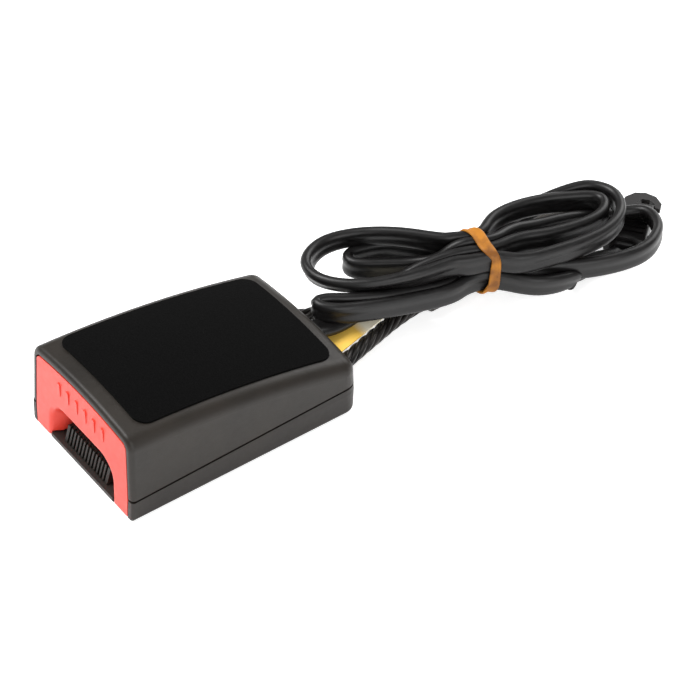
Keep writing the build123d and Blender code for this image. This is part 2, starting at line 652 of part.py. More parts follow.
def ejector():
    """Forked plastic slider that pushes the tongue back out."""
    low = PAD_TOP_Z + PLATE + FIT_GAP
    high = low + EJECTOR_HEIGHT
    bar_rear = EJECTOR_FRONT_Y + EJECTOR_BAR
    bar = box(-EJECTOR_HALF_WIDTH, EJECTOR_HALF_WIDTH, EJECTOR_FRONT_Y, bar_rear, low, high)
    arm = box(EJECTOR_ARM_INNER_X, EJECTOR_ARM_OUTER_X, bar_rear - 1.0, EJECTOR_ARM_END_Y, low, high)
    slider = bar + both_sides(arm)
    slider = fillet(slider.edges().filter_by(Axis.Z), 0.5)
    return slider - magnet_form(SEAT_GAP)


def magnet_form(clearance):
    """The magnet's round bar, or its pocket when grown by a clearance."""
    x = -(EJECTOR_ARM_INNER_X + EJECTOR_ARM_OUTER_X) / 2
    rear = EJECTOR_ARM_END_Y + clearance
    return rod_y(MAGNET_RADIUS + clearance, rear - MAGNET_LENGTH - 2 * clearance, rear, x, ejector_axis_z())


def sensor_housing():
    """Open tray that carries the sensor board behind the ejector."""
    low = PAD_TOP_Z + PLATE + SEAT_GAP
    tray = box(-6.6, 6.6, 14.9, 20.4, low, low + 4.2)
    return tray - box(-5.8, 5.8, 15.7, 19.6, low + 0.9, low + 5.0) - box(-1.8, 3.0, 19.0, 21.0, low + 2.0, low + 5.0)


def sensor_board():
    """Circuit board with the magnetic switch and its two solder joints."""
    z = PAD_TOP_Z + PLATE + SEAT_GAP + 0.9
    board = box(-5.6, 5.6, 15.9, 19.4, z + 0.05, z + 1.0)
    board += box(-5.0, -2.0, 16.2, 17.8, z + 0.8, z + 2.2)
    for x in lead_places():
        board += rod_z(0.7, z + 0.8, z + 1.5, x, 18.6)
    return board


def lead_places():
    """X positions of the two cores of the lead."""
    return (CABLE_X - 1.3, CABLE_X + 1.3)


def sensor_leads():
    """Two cores between the board and the sheathed cable."""
    z = PAD_TOP_Z + PLATE + 3.3
    return Compound([box(x - 0.45, x + 0.45, 18.3, CABLE_START_Y, z - 0.45, z + 0.45) for x in lead_places()])


def cable_grommet():
    """Rubber grommet clamped between the covers where the cable leaves."""
    inner, outer = REAR_Y - WALL, REAR_Y
    span = box(-BODY_WIDTH, BODY_WIDTH, inner - 1.3, outer + 1.3, -WALL, BODY_WIDTH)
    body = grommet_form(0) & span
    height = CABLE_THICKNESS + 1.2 * WALL + 0.5
    flange = Plane.XZ * RectangleRounded(CABLE_WIDTH + 2 * WALL + 1.6, height, height / 3)
    for y in (inner - 1.4, outer + SEAT_GAP):
        body += Pos(CABLE_X, y, CABLE_Z) * extrude(flange, amount=-0.9)
    hole = SlotOverall(CABLE_WIDTH + 2 * SEAT_GAP, CABLE_THICKNESS + 2 * SEAT_GAP)
    return body - Pos(CABLE_X, 0, CABLE_Z) * extrude(Plane.XZ * hole, amount=-2 * REAR_Y)


def smooth_path(points, label):
    """Straight runs joined by the largest tangent arcs that the runs allow."""
    radii = []
    for before, here, after in zip(points, points[1:], points[2:]):
        first = Vector(*here) - Vector(*before)
        second = Vector(*after) - Vector(*here)
        half_turn = math.radians(first.get_angle(second)) / 2
        radii.append(0.45 * min(first.length, second.length) / math.tan(half_turn))
    print(label, "radii", [round(r, 1) for r in radii])
    return FilletPolyline(points, radius=radii)


def round_tube(points, diameter, label):
    """Round cord along a route, with its volume checked against its length."""
    path = smooth_path(points, label)
    section = Plane(path @ 0, z_dir=path % 0) * Circle(diameter / 2)
    tube = sweep(section, path=path)
    print(label, "length", round(path.length, 1), "volume ratio", tube.volume / (path.length * section.area))
    return tube


def rope_terminals():
    """Swaged end pieces that pull against the frame's shoulders."""
    body = rod_y(TERMINAL_RADIUS, TERMINAL_FACE_Y - TERMINAL_LENGTH, TERMINAL_FACE_Y, ROPE_X, ROPE_Z)
    body = chamfer(body.edges(), 0.4)
    return Compound([body, mirror(body, about=Plane.YZ)])


def rope_leg(side):
    """One leg of the wire rope stalk."""
    return round_tube([(side * x, y, z) for x, y, z in ROPE_ROUTE], ROPE_DIAMETER, "rope")


def rope_ferrule():
    """Oval sleeve swaged over both rope ends, with its crimp dents."""
    _, start, z = ROPE_ROUTE[-1]
    width, height = 2 * FERRULE_HALF_WIDTH, 2 * FERRULE_HALF_HEIGHT
    outline = Plane.XZ * SlotOverall(width, height)
    sleeve = Pos(0, start, z) * extrude(outline, amount=-FERRULE_LENGTH)
    sleeve = chamfer(sleeve.edges().group_by(Axis.Y)[0] + sleeve.edges().group_by(Axis.Y)[-1], 0.5)
    rear = start + FERRULE_LENGTH
    socket_x, socket_z = SHANK_HALF_WIDTH + SEAT_GAP, ANCHOR_THICKNESS / 2 + SEAT_GAP
    sleeve -= box(-socket_x, socket_x, rear - SHANK_LENGTH - SEAT_GAP, rear, z - socket_z, z + socket_z)
    for share in (0.3, 0.5, 0.7):
        y = start + share * FERRULE_LENGTH
        sleeve -= rod_x(0.7, -FERRULE_HALF_WIDTH, FERRULE_HALF_WIDTH, y, z + FERRULE_HALF_HEIGHT + 0.2)
    return sleeve


def anchor_plate():
    """Flat steel bracket, its shank swaged in the ferrule, with the eye for the anchor bolt."""
    _, start, rope_z = ROPE_ROUTE[-1]
    rear = start + FERRULE_LENGTH
    eye = Pos(ANCHOR_EYE_X, ANCHOR_EYE_Y) * Circle(ANCHOR_EYE_RADIUS)
    reach = ANCHOR_EYE_RADIUS * 0.94
    half, shank = ANCHOR_HALF_WIDTH, SHANK_HALF_WIDTH
    side = [(shank, rear - SHANK_LENGTH), (shank, rear + 1.0), (half, rear + 3.0), (half + 0.6, rear + 10.0)]
    right = side + [(ANCHOR_EYE_X + reach, ANCHOR_EYE_Y - 4.4)]
    left = [(ANCHOR_EYE_X - reach, ANCHOR_EYE_Y - 4.4)] + [(-x, y) for x, y in reversed(side)]
    outline = eye + make_face(Polyline(right + left, close=True))
    outline -= Pos(ANCHOR_EYE_X, ANCHOR_EYE_Y) * Circle(BOLT_HOLE_RADIUS)
    return Pos(0, 0, rope_z - ANCHOR_THICKNESS / 2) * extrude(outline, amount=ANCHOR_THICKNESS)


def sensor_cable():
    """Sheathed twin cable from the sensor, through the grommet, to the hank."""
    outline = Plane.XZ * SlotOverall(CABLE_WIDTH, CABLE_THICKNESS)
    return Pos(CABLE_X, CABLE_START_Y, CABLE_Z) * extrude(outline, amount=CABLE_START_Y - CABLE_END_Y)


def tie_point(offset):
    """Plan point on the tie's line, offset across the bundle."""
    angle = math.radians(TIE_ANGLE)
    return TIE_X + offset * math.cos(angle), TIE_Y - offset * math.sin(angle)


def hank_layer(points, under_z):
    """One layer of the hank from its plan points, with rounded turns."""
    outline = FilletPolyline(points, radius=HANK_CORNER, close=True)
    return Pos(0, 0, under_z) * extrude(make_face(outline), amount=HANK_LAYER)


def cable_hank():
    """Outer shape of the wound cable, one closed solid: two layers of loops, tied at the waist."""
    waist_left, waist_right = tie_point(-TIE_HALF_WIDTH), tie_point(TIE_HALF_WIDTH)
    lower = [(-5.5, HANK_FRONT_Y), (-14.5, 39.5), (-16.5, 50.0), (-9.5, 64.0), waist_left]
    lower += [(-1.5, 90.0), (3.0, 104.0), (5.0, 119.5), (15.0, 121.8), (24.8, 114.0), (23.6, 103.0)]
    lower += [(17.7, 91.5), (11.0, 79.5), waist_right, (8.4, 60.0), (3.2, 46.0)]
    upper = [(-6.5, HANK_FRONT_Y), (-15.5, 38.0), (-22.0, 46.0), (-20.5, 56.0), (-12.5, 64.5), waist_left]
    upper += [(-5.5, 91.0), (-3.5, 103.0), (2.0, 114.0), (11.0, 116.5), (18.8, 109.0), (20.0, 95.0)]
    upper += [waist_right, (5.5, 60.0), (2.5, 48.0)]
    return hank_layer(lower, HANK_UNDER_Z) + hank_layer(upper, HANK_UNDER_Z + HANK_LAYER)


def rubber_band():
    """Band round the hank's waist."""
    width = 2 * TIE_HALF_WIDTH + 0.2
    height = 2 * HANK_LAYER + 0.2
    inner = Plane.XZ * RectangleRounded(width, height, height / 3.0)
    outer = Plane.XZ * RectangleRounded(width + 2 * BAND_THICKNESS, height + 2 * BAND_THICKNESS, height / 2.6)
    ring = extrude(outer - inner, amount=BAND_WIDTH / 2, both=True)
    return Pos(TIE_X, TIE_Y, HANK_UNDER_Z + HANK_LAYER) * Rot(0, 0, -TIE_ANGLE) * ring


def cable_tail():
    """The end of the cable, from the hank down to its connector."""
    path = smooth_path(TAIL_ROUTE, "cable tail")
    plane = Plane(path @ 0, x_dir=(0, 0, 1), z_dir=path % 0)
    section = plane * Circle(CABLE_THICKNESS / 2)
    tube = sweep(section, path=path)
    print("cable tail length", round(path.length, 1), tube.volume / (path.length * section.area))
    return tube


def on_connector(shape):
    """Carry a shape from the connector's own axes to where the connector lies."""
    return Pos(CONNECTOR_X, CONNECTOR_Y, 0) * Rot(0, 0, CONNECTOR_YAW) * shape


def connector_housing():
    """Two-way plug housing with ribbed back, side ear and hooked lock."""
    half = CONNECTOR_WIDTH / 2
    body = box(-half, half, 0, CONNECTOR_LENGTH, 0, CONNECTOR_HEIGHT)
    body = fillet(body.edges().filter_by(Axis.Y), 0.8)
    for i in range(5):
        y = 2.4 + 1.8 * i
        body -= box(-half + 1.0, half - 1.0, y, y + 0.7, CONNECTOR_HEIGHT - 0.5, 2 * CONNECTOR_HEIGHT)
    for x in contact_places():
        body -= box(x - 1.6, x + 1.6, CONNECTOR_LENGTH - 7.0, CONNECTOR_LENGTH + 1, 1.0, 3.8)
    body += box(half - 0.4, half + 1.1, 1.0, 4.2, 0, 3.6)
    hook = [(-3.0, 11.5), (-2.8, 15.2), (-0.8, 17.4), (1.8, 18.0), (4.4, 17.2), (6.2, 14.9), (6.2, 12.7)]
    hook += [(4.95, 12.9), (4.5, 14.4), (3.2, 15.4), (1.3, 15.4), (0.6, 14.4), (0.6, 11.5)]
    tab = extrude(make_face(Polyline(hook, close=True)), amount=1.3)
    body += Pos(0, 0, CONNECTOR_HEIGHT - 1.3) * tab
    entry = Plane.XZ * SlotOverall(CABLE_WIDTH + 1.4, CABLE_THICKNESS + 1.4)
    return on_connector(body + Pos(0, 0, CONNECTOR_AXIS_Z) * extrude(entry, amount=COLLAR_LENGTH))


def contact_places():
    """Sideways positions of the two contacts in the connector."""
    return (-2.4, 2.4)


def connector_terminals():
    """The two crimped contacts inside the housing."""
    front, rear = CONNECTOR_LENGTH - 1.2, CONNECTOR_LENGTH - 6.9
    return Compound([on_connector(box(x - 1.2, x + 1.2, rear, front, 1.4, 3.4)) for x in contact_places()])


def marker_tag():
    """Plain marker strip that comes out beside the cable and lies over the rope."""
    strip = Pos(0, TAG_LENGTH / 2, TAG_THICKNESS / 2) * Box(TAG_WIDTH, TAG_LENGTH, TAG_THICKNESS)
    strip = fillet(strip.edges().filter_by(Axis.Z), 0.8)
    return Pos(TAG_START_X, TAG_START_Y, TAG_Z) * Rot(0, 0, TAG_HEADING) * strip


def write(shape, node):
    """Write one named sub-part."""
    export_step(shape, "parts/" + node + ".step")


write(upper_cover(), "upper_cover")
write(lower_cover(), "lower_cover")
write(felt_pad(), "felt_pad")
write(press_button(), "press_button")
write(button_spring(-1), "button_spring_left")
write(button_spring(1), "button_spring_right")
write(buckle_frame(), "buckle_frame")
write(latch_plate(), "latch_plate")
write(latch_pivot_pin(), "latch_pivot_pin")
write(latch_spring(), "latch_spring")
write(ejector(), "ejector")
write(magnet_form(0), "ejector_magnet")
write(ejector_spring(), "ejector_spring")
write(sensor_housing(), "sensor_housing")
write(sensor_board(), "sensor_board")
write(sensor_leads(), "sensor_leads")
write(cable_grommet(), "cable_grommet")
write(sensor_cable(), "sensor_cable")
write(cable_hank(), "cable_hank")
write(rubber_band(), "rubber_band")
write(cable_tail(), "cable_tail")
write(connector_housing(), "connector_housing")
write(connector_terminals(), "connector_terminals")
write(rope_terminals(), "rope_terminals")
write(rope_leg(-1), "wire_rope_left")
write(rope_leg(1), "wire_rope_right")
write(rope_ferrule(), "rope_ferrule")
write(anchor_plate(), "anchor_plate")
write(marker_tag(), "marker_tag")
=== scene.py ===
"""Seat belt buckle on a two-leg wire rope stalk, with its flat sensor lead wound and banded behind it.

Sizes are written in millimetres and turned into metres by MM, except where a docstring says metres.
They stand in the frame of the CAD model: +Y from the button end to the rope end, +Z up.
"""

import logging
import math
from dataclasses import dataclass, field
from enum import Enum

import bmesh
import bpy
from mathutils import Matrix, Vector, noise


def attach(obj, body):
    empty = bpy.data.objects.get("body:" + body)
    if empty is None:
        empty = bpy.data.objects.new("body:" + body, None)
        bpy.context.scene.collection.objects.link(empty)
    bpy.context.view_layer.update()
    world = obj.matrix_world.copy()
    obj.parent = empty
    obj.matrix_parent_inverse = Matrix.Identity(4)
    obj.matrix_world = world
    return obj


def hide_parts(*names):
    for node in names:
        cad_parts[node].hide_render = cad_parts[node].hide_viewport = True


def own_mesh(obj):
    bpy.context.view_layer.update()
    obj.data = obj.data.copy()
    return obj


LOG = logging.getLogger("seat_belt_buckle")
MM = 0.001
TINY = 1e-9
UV_ALONG = "along"
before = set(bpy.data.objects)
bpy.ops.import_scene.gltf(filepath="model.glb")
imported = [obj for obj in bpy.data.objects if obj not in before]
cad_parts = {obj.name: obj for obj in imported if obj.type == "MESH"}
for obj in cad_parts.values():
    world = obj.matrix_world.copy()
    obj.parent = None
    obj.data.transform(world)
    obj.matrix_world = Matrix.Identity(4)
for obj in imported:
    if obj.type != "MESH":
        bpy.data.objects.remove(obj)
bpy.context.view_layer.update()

Colour = tuple[float, float, float, float]
Point = tuple[float, float, float]
RoutePoint = tuple[float, float, float, float]
Section = list[tuple[float, float]]


class Body(Enum):
    """The rigid body that the cords and the tie ride on."""

    HOUSING = "housing"


class Lay(Enum):
    """How a free cord lies."""

    COILED = "coiled"
    TAUT = "taut"


class Grain(Enum):
    """Surface texture families of the moulded pieces."""

    SMOOTH = "smooth"
    FINE = "fine"
    SPARK = "spark"


def srgb(red: int, green: int, blue: int) -> Colour:
    """Turn 0 to 255 display values into a linear colour.

    Args:
        red: Red display value.
        green: Green display value.
        blue: Blue display value.

    Returns:
        Linear red, green, blue and alpha.
    """

    def linear(value: int) -> float:
        """Undo the sRGB transfer curve for one channel."""
        share = value / 255.0
        return share / 12.92 if share <= 0.04045 else ((share + 0.055) / 1.055) ** 2.4

    return linear(red), linear(green), linear(blue), 1.0


@dataclass(frozen=True)
class Pattern:
    """A noise pattern: its scale, its octaves and the extra scale along each axis."""

    scale: float
    detail: float
    stretch: Point = (1, 1, 1)


@dataclass(frozen=True)
class Relief:
    """How strongly a bump shows, and its height in metres."""

    strength: float
    height: float


class Graph:
    """Small helper that wires shader nodes."""

    def __init__(self, name: str) -> None:
        """Start a material with a bare Principled shader.

        Args:
            name: The material's name.
        """
        self.material = bpy.data.materials.new(name)
        self.material.use_nodes = True
        self.tree = self.material.node_tree
        self.shader = self.tree.nodes["Principled BSDF"]
        self.coordinates = self.tree.nodes.new("ShaderNodeTexCoord")

    def node(self, kind: str, **settings: object) -> bpy.types.Node:
        """Add a node and set its properties."""
        made = self.tree.nodes.new(kind)
        for key, value in settings.items():
            setattr(made, key, value)
        return made

    def link(self, source: bpy.types.NodeSocket, target: bpy.types.NodeSocket) -> None:
        """Join two sockets."""
        self.tree.links.new(source, target)

    def noise(
        self, pattern: Pattern, source: bpy.types.NodeSocket | None = None
    ) -> bpy.types.NodeSocket:
        """Add a noise texture.

        Args:
            pattern: The noise's pattern.
            source: The coordinates it reads, the Object coordinates if none are given.

        Returns:
            The noise's value.
        """
        mapping = self.node("ShaderNodeMapping")
        mapping.inputs["Scale"].default_value = pattern.stretch
        self.link(source or self.coordinates.outputs["Object"], mapping.inputs["Vector"])
        texture = self.node("ShaderNodeTexNoise")
        texture.inputs["Scale"].default_value = pattern.scale
        texture.inputs["Detail"].default_value = pattern.detail
        self.link(mapping.outputs["Vector"], texture.inputs["Vector"])
        return texture.outputs["Fac"]

    def tint(self, source: bpy.types.NodeSocket, stops: list[tuple[float, Colour]]) -> None:
        """Colour the shader by a value.

        Args:
            source: The value's socket.
            stops: Positions and colours along the value.
        """
        ramp = self.node("ShaderNodeValToRGB")
        elements = ramp.color_ramp.elements
        while len(elements) < len(stops):
            elements.new(0.5)
        for element, (position, colour) in zip(elements, stops):
            element.position = position
            element.color = colour
        self.link(source, ramp.inputs["Fac"])
        self.link(ramp.outputs["Color"], self.shader.inputs["Base Color"])

    def roughen(self, source: bpy.types.NodeSocket, low: float, high: float) -> None:
        """Spread the shader's roughness between two levels by a value."""
        made = self.node("ShaderNodeMapRange")
        made.inputs["To Min"].default_value = low
        made.inputs["To Max"].default_value = high
        self.link(source, made.inputs["Value"])
        self.link(made.outputs["Result"], self.shader.inputs["Roughness"])

    def bump(
        self, height: bpy.types.NodeSocket, relief: Relief, below: bpy.types.Node | None = None
    ) -> bpy.types.Node:
        """Turn a height into a bumped normal.

        Args:
            height: The height's socket.
            relief: How strong and how high it is.
            below: A bump node that this one lies on.

        Returns:
            The bump node, already wired into the shader.
        """
        made = self.node("ShaderNodeBump")
        made.inputs["Strength"].default_value = relief.strength
        made.inputs["Distance"].default_value = relief.height
        self.link(height, made.inputs["Height"])
        if below is not None:
            self.link(below.outputs["Normal"], made.inputs["Normal"])
        self.link(made.outputs["Normal"], self.shader.inputs["Normal"])
        return made

    def set(self, **values: object) -> None:
        """Set constants on the shader's own sockets."""
        for key, value in values.items():
            self.shader.inputs[key.replace("_", " ")].default_value = value


@dataclass(frozen=True)
class MouldedPlastic:
    """Grained moulding with a soft sheen; its grain's height is in metres."""

    name: str
    light: Colour
    dark: Colour
    roughness: float = 0.42
    grain: Grain = Grain.FINE
    grain_scale: float = 2600.0
    grain_height: float = 0.00003
    specular: float = 0.5
    cloud: Pattern = Pattern(90.0, 3.0)
    cloud_span: tuple[float, float] = (0.3, 0.7)
    wear: Pattern = Pattern(700.0, 5.0)
    wear_span: tuple[float, float] = (-0.07, 0.09)
    grain_strength: float = 0.35
    grain_detail: float = 2.0
    spark_strength: float = 0.25
    spark_scale_share: float = 0.35
    spark_height_share: float = 2.0
    spark_detail: float = 1.0

    def build(self) -> bpy.types.Material:
        """Make the material."""
        graph = Graph(self.name)
        dark_at, light_at = self.cloud_span
        graph.tint(graph.noise(self.cloud), [(dark_at, self.dark), (light_at, self.light)])
        smoother, rougher = self.wear_span
        graph.roughen(graph.noise(self.wear), self.roughness + smoother, self.roughness + rougher)
        if self.grain is not Grain.SMOOTH:
            fine = graph.noise(Pattern(self.grain_scale, self.grain_detail))
            lower = graph.bump(fine, Relief(self.grain_strength, self.grain_height))
            if self.grain is Grain.SPARK:
                spark = Pattern(self.grain_scale * self.spark_scale_share, self.spark_detail)
                pits = Relief(self.spark_strength, self.grain_height * self.spark_height_share)
                graph.bump(graph.noise(spark), pits, lower)
        graph.set(IOR=1.49, Specular_IOR_Level=self.specular)
        return graph.material


@dataclass(frozen=True)
class FlockedFelt:
    """Short dense black pile."""

    name: str
    light: Colour
    dark: Colour
    fibre: Pattern = Pattern(5200.0, 6.0)
    fibre_span: tuple[float, float] = (0.32, 0.72)
    pile: Pattern = Pattern(2400.0, 8.0)
    pile_relief: Relief = Relief(0.7, 0.00012)
    nap: Pattern = Pattern(160.0, 3.0, (1, 0.4, 1))
    nap_relief: Relief = Relief(0.2, 0.0003)

    def build(self) -> bpy.types.Material:
        """Make the material."""
        graph = Graph(self.name)
        dark_at, light_at = self.fibre_span
        graph.tint(graph.noise(self.fibre), [(dark_at, self.dark), (light_at, self.light)])
        lower = graph.bump(graph.noise(self.pile), self.pile_relief)
        graph.bump(graph.noise(self.nap), self.nap_relief, lower)
        graph.set(Roughness=0.95, IOR=1.3, Specular_IOR_Level=0.04)
        graph.set(Sheen_Weight=0.02, Sheen_Roughness=0.5)
        return graph.material


@dataclass(frozen=True)
class Metal:
    """Plated, drawn or coated metal; its drawing lines' height is in metres."""

    name: str
    light: Colour
    dark: Colour
    metallic: float = 1.0
    roughness: float = 0.32
    brush: Point = (1.0, 8.0, 1.0)
    line_height: float = 0.00001
    cloud: Pattern = Pattern(240.0, 6.0)
    cloud_span: tuple[float, float] = (0.35, 0.65)
    line_scale: float = 900.0
    line_detail: float = 3.0
    line_strength: float = 0.3
    line_span: tuple[float, float] = (-0.08, 0.12)

    def build(self) -> bpy.types.Material:
        """Make the material."""
        graph = Graph(self.name)
        dark_at, light_at = self.cloud_span
        graph.tint(graph.noise(self.cloud), [(dark_at, self.dark), (light_at, self.light)])
        lines = graph.noise(Pattern(self.line_scale, self.line_detail, self.brush))
        smoother, rougher = self.line_span
        graph.roughen(lines, self.roughness + smoother, self.roughness + rougher)
        graph.bump(lines, Relief(self.line_strength, self.line_height))
        graph.set(Metallic=self.metallic)
        return graph.material


@dataclass(frozen=True)
class CableSheath:
    """Satin black sheath with faint scuffs along it."""

    name: str
    light: Colour
    dark: Colour
    roughness: float = 0.34
    specular: float = 0.3
    scuff: Pattern = Pattern(6.0, 5.0, (60.0, 4.0, 1.0))
    scuff_span: tuple[float, float] = (0.35, 0.7)
    scuff_roughness: tuple[float, float] = (-0.08, 0.16)
    skin: Pattern = Pattern(1500.0, 3.0)
    skin_relief: Relief = Relief(0.2, 0.00004)

    def build(self) -> bpy.types.Material:
        """Make the material."""
        graph = Graph(self.name)
        unrolled = graph.node("ShaderNodeUVMap", uv_map=UV_ALONG)
        scuff = graph.noise(self.scuff, unrolled.outputs["UV"])
        dark_at, light_at = self.scuff_span
        graph.tint(scuff, [(dark_at, self.dark), (light_at, self.light)])
        smoother, rougher = self.scuff_roughness
        graph.roughen(scuff, self.roughness + smoother, self.roughness + rougher)
        graph.bump(graph.noise(self.skin), self.skin_relief)
        graph.set(IOR=1.5, Specular_IOR_Level=self.specular)
        return graph.material


@dataclass(frozen=True)
class AmberRubber:
    """Natural rubber with darker stretched patches."""

    name: str
    light: Colour
    dark: Colour
    patch: Pattern = Pattern(260.0, 4.0)
    patch_span: tuple[float, float] = (0.38, 0.62)
    ripple: Pattern = Pattern(1400.0, 3.0, (1, 1, 0.3))
    ripple_relief: Relief = Relief(0.35, 0.00008)

    def build(self) -> bpy.types.Material:
        """Make the material."""
        graph = Graph(self.name)
        dark_at, light_at = self.patch_span
        graph.tint(graph.noise(self.patch), [(dark_at, self.dark), (light_at, self.light)])
        graph.bump(graph.noise(self.ripple), self.ripple_relief)
        graph.set(Roughness=0.5, IOR=1.5, Specular_IOR_Level=0.3)
        return graph.material


@dataclass(frozen=True)
class TagPaper:
    """Yellow strip, gold in its own colour, with a painted highlight in cream along its far part where
    the bent strip faces the light; the Y places are in metres.
    """

    name: str
    gold: Colour
    highlight_cream: Colour
    change_y: float
    gold_reach: float = 0.004
    highlight_reach: float = 0.012
    gold_end: float = 0.3
    highlight_start: float = 0.45
    fibre: Pattern = Pattern(1800.0, 6.0)
    fibre_relief: Relief = Relief(0.25, 0.00003)
    fibre_roughness: tuple[float, float] = (0.4, 0.6)

    def build(self) -> bpy.types.Material:
        """Make the material."""
        graph = Graph(self.name)
        parts = graph.node("ShaderNodeSeparateXYZ")
        graph.link(graph.coordinates.outputs["Object"], parts.inputs["Vector"])
        position = graph.node("ShaderNodeMapRange")
        position.inputs["From Min"].default_value = self.change_y - self.gold_reach
        position.inputs["From Max"].default_value = self.change_y + self.highlight_reach
        graph.link(parts.outputs["Y"], position.inputs["Value"])
        # gold is the strip's own colour; the cream past change_y is a painted highlight where the strip
        # faces the light
        gold = [(0.0, self.gold), (self.gold_end, self.gold)]
        highlight_cream = [(self.highlight_start, self.highlight_cream), (1.0, self.highlight_cream)]
        graph.tint(position.outputs["Result"], gold + highlight_cream)
        fibre = graph.noise(self.fibre)
        graph.bump(fibre, self.fibre_relief)
        graph.roughen(fibre, *self.fibre_roughness)
        return graph.material


@dataclass(frozen=True)
class BoardMask:
    """Green solder mask with pale joints."""

    name: str
    mask: Colour
    trace: Colour
    tracks_scale: float = 400.0

    def build(self) -> bpy.types.Material:
        """Make the material."""
        graph = Graph(self.name)
        tracks = graph.node("ShaderNodeTexBrick")
        tracks.inputs["Scale"].default_value = self.tracks_scale
        tracks.inputs["Color1"].default_value = self.mask
        tracks.inputs["Color2"].default_value = self.mask
        tracks.inputs["Mortar"].default_value = self.trace
        graph.link(graph.coordinates.outputs["Object"], tracks.inputs["Vector"])
        graph.link(tracks.outputs["Color"], graph.shader.inputs["Base Color"])
        graph.set(Roughness=0.35)
        return graph.material


@dataclass(frozen=True)
class FloorPaint:
    """Pale matt floor that the camera sees as near white, with the object's soft shadow."""

    name: str = "floor_paint"
    pale: Colour = (0.9, 0.9, 0.9, 1)
    glow: float = 0.62

    def build(self) -> bpy.types.Material:
        """Make the material."""
        graph = Graph(self.name)
        graph.set(Base_Color=self.pale, Roughness=0.9, Specular_IOR_Level=0.1)
        path = graph.node("ShaderNodeLightPath")
        rays = graph.node("ShaderNodeMath", operation="MAXIMUM")
        graph.link(path.outputs["Is Camera Ray"], rays.inputs[0])
        graph.link(path.outputs["Is Glossy Ray"], rays.inputs[1])
        amount = graph.node("ShaderNodeMath", operation="MULTIPLY")
        amount.inputs[1].default_value = self.glow
        graph.link(rays.outputs["Value"], amount.inputs[0])
        glow = graph.node("ShaderNodeEmission")
        glow.inputs["Color"].default_value = (1, 1, 1, 1)
        graph.link(amount.outputs["Value"], glow.inputs["Strength"])
        both = graph.node("ShaderNodeAddShader")
        graph.link(graph.shader.outputs["BSDF"], both.inputs[0])
        graph.link(glow.outputs["Emission"], both.inputs[1])
        output = graph.tree.nodes["Material Output"]
        graph.link(both.outputs["Shader"], output.inputs["Surface"])
        return graph.material


Finish = MouldedPlastic | FlockedFelt | Metal | CableSheath | AmberRubber | TagPaper | BoardMask

COVER = MouldedPlastic(
    "cover_black", srgb(36, 31, 26), srgb(28, 24, 20), 0.44, Grain.SPARK, specular=0.3
)
TRAY = MouldedPlastic(
    "tray_black", srgb(36, 31, 27), srgb(28, 24, 21), 0.46, Grain.FINE, specular=0.3
)
BUTTON = MouldedPlastic(
    "button_red", srgb(230, 70, 54), srgb(221, 62, 47), 0.40, Grain.FINE, 3000.0, 0.00002, 0.4
)
SLIDER = MouldedPlastic(
    "slider_plastic", srgb(222, 219, 208), srgb(205, 201, 190), 0.35, Grain.SMOOTH
)
CORE = MouldedPlastic("core_insulation", srgb(40, 40, 40), srgb(26, 26, 26), 0.4, Grain.SMOOTH)
GROMMET = MouldedPlastic("grommet_rubber", srgb(24, 23, 22), srgb(16, 15, 15), 0.6, Grain.FINE)
CONNECTOR = MouldedPlastic(
    "connector_black", srgb(30, 28, 28), srgb(20, 19, 19), 0.36, Grain.FINE, specular=0.3
)
FELT = FlockedFelt("felt_black", srgb(14, 14, 14), srgb(4, 4, 4))
SPRING = Metal("spring_steel", srgb(178, 180, 184), srgb(120, 122, 126), 1.0, 0.25, (1, 1, 1))
ZINC = Metal("frame_steel", srgb(196, 198, 200), srgb(150, 152, 156), 1.0, 0.34, (8, 1, 1))
MAGNET = Metal("magnet_dark", srgb(110, 111, 115), srgb(70, 71, 75), 1.0, 0.3, (1, 1, 1))
CONTACT = Metal("contact_tin", srgb(214, 210, 200), srgb(168, 164, 156), 1.0, 0.3, (1, 1, 1))
ROPE = Metal("rope_steel", srgb(52, 49, 47), srgb(20, 19, 18), 0.55, 0.3, (1, 1, 1))
PLATE = Metal("plate_black", srgb(44, 38, 32), srgb(26, 23, 20), 0.25, 0.42, (1, 1, 1), 0.00003)
BOARD = BoardMask("board_green", srgb(38, 88, 54), srgb(70, 130, 84))
SHEATH = CableSheath("cable_sheath", srgb(24, 23, 23), srgb(14, 13, 13))
BAND = AmberRubber("band_rubber", srgb(176, 112, 28), srgb(118, 70, 16))
# the second colour, cream, is a painted highlight on the yellow tag
TAG = TagPaper("tag_yellow", srgb(240, 196, 88), srgb(255, 247, 222), 0.040)


@dataclass
class Finishes:
    """The finishes' materials, each made once."""

    made: dict[str, bpy.types.Material] = field(default_factory=dict)

    def dress(self, finish: Finish, *pieces: bpy.types.Object) -> list[bpy.types.Object]:
        """Put a finish on whole pieces, and build it the first time it is asked for.

        Args:
            finish: The finish.
            pieces: The pieces that get it.

        Returns:
            The pieces.
        """
        if finish.name not in self.made:
            self.made[finish.name] = finish.build()
        for piece in pieces:
            piece.data.materials.clear()
            piece.data.materials.append(self.made[finish.name])
        return list(pieces)

    def dress_nodes(self, finish: Finish, *nodes: str) -> list[bpy.types.Object]:
        """Put a finish on CAD pieces, which are named by their nodes, and return the pieces."""
        return self.dress(finish, *(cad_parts[node] for node in nodes))


def object_from(work: bmesh.types.BMesh, name: str) -> bpy.types.Object:
    """Turn a bmesh into a smooth-shaded object at the origin.

    Args:
        work: The bmesh, which is freed.
        name: The piece's name.

    Returns:
        The new object.
    """
    bmesh.ops.recalc_face_normals(work, faces=work.faces)
    mesh = bpy.data.meshes.new(name)
    work.to_mesh(mesh)
    work.free()
    for polygon in mesh.polygons:
        polygon.use_smooth = True
    piece = bpy.data.objects.new(name, mesh)
    bpy.context.scene.collection.objects.link(piece)
    return piece


